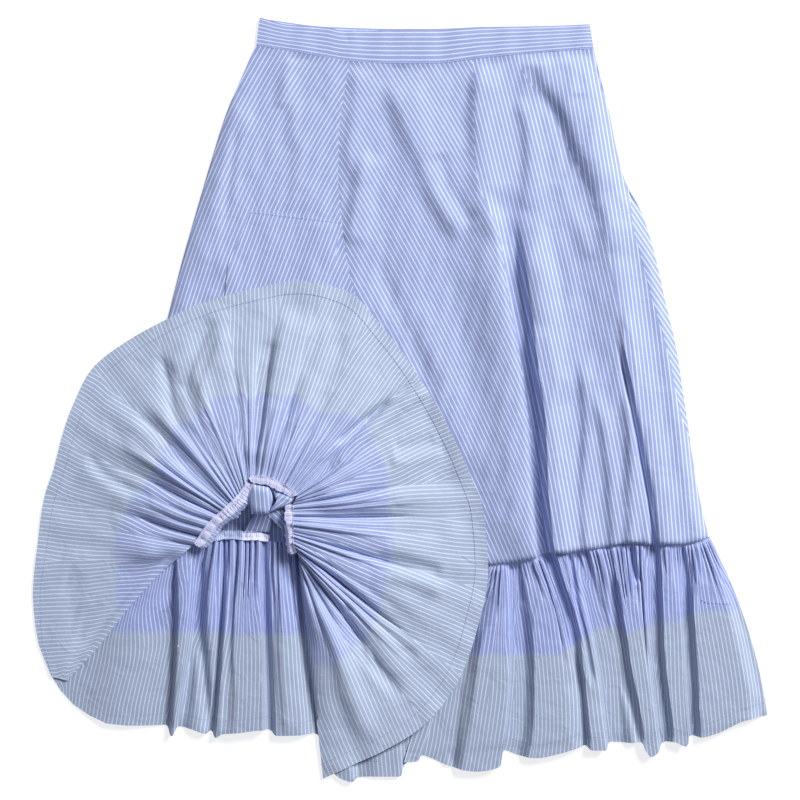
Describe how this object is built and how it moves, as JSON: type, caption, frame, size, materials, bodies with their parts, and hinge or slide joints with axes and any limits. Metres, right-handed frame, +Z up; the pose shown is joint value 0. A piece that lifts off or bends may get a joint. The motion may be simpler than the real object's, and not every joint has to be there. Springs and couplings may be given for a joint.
{
  "type": "midi skirt",
  "caption": "Pin-striped cotton midi skirt laid flat, with a curved waistband, a patch pocket and a deep gathered hem ruffle whose left side is turned up and knotted.",
  "frame": {"origin": "centre of the laid skirt's plan, on the surface that it lies on", "axes": "+Z up from the surface, +Y towards the waistband, +X towards the side gore"},
  "size_m": [0.7644, 0.7941, 0.0431],
  "materials": {
    "shirting": "fine end-on-end cotton with white pin stripes, matte",
    "ruffle_shirting": "the same cotton, paler towards the hem, matte",
    "overlock_thread": "pinkish white overlock thread over a raw edge, matte"
  },
  "bodies": {
    "root": {"waistband_back": "shirting", "waistband_front": "shirting", "waistband_front_left": "shirting", "back_panel": "shirting", "front_left_panel": "shirting", "front_centre_panel": "shirting", "side_gore": "shirting", "pocket": "shirting", "ruffle_front": "ruffle_shirting", "ruffle_back": "ruffle_shirting", "ruffle_fan": "ruffle_shirting", "hem_fan": "ruffle_shirting", "hem_back": "ruffle_shirting", "hidden_bundle": "shirting", "seam_fan_left": "overlock_thread", "seam_fan_top": "overlock_thread", "seam_fan_right": "overlock_thread", "seam_back": "overlock_thread", "knot_wrap": "shirting", "knot_loop": "shirting", "knot_crossing": "shirting", "knot_tail": "shirting"}
  },
  "joints": []
}
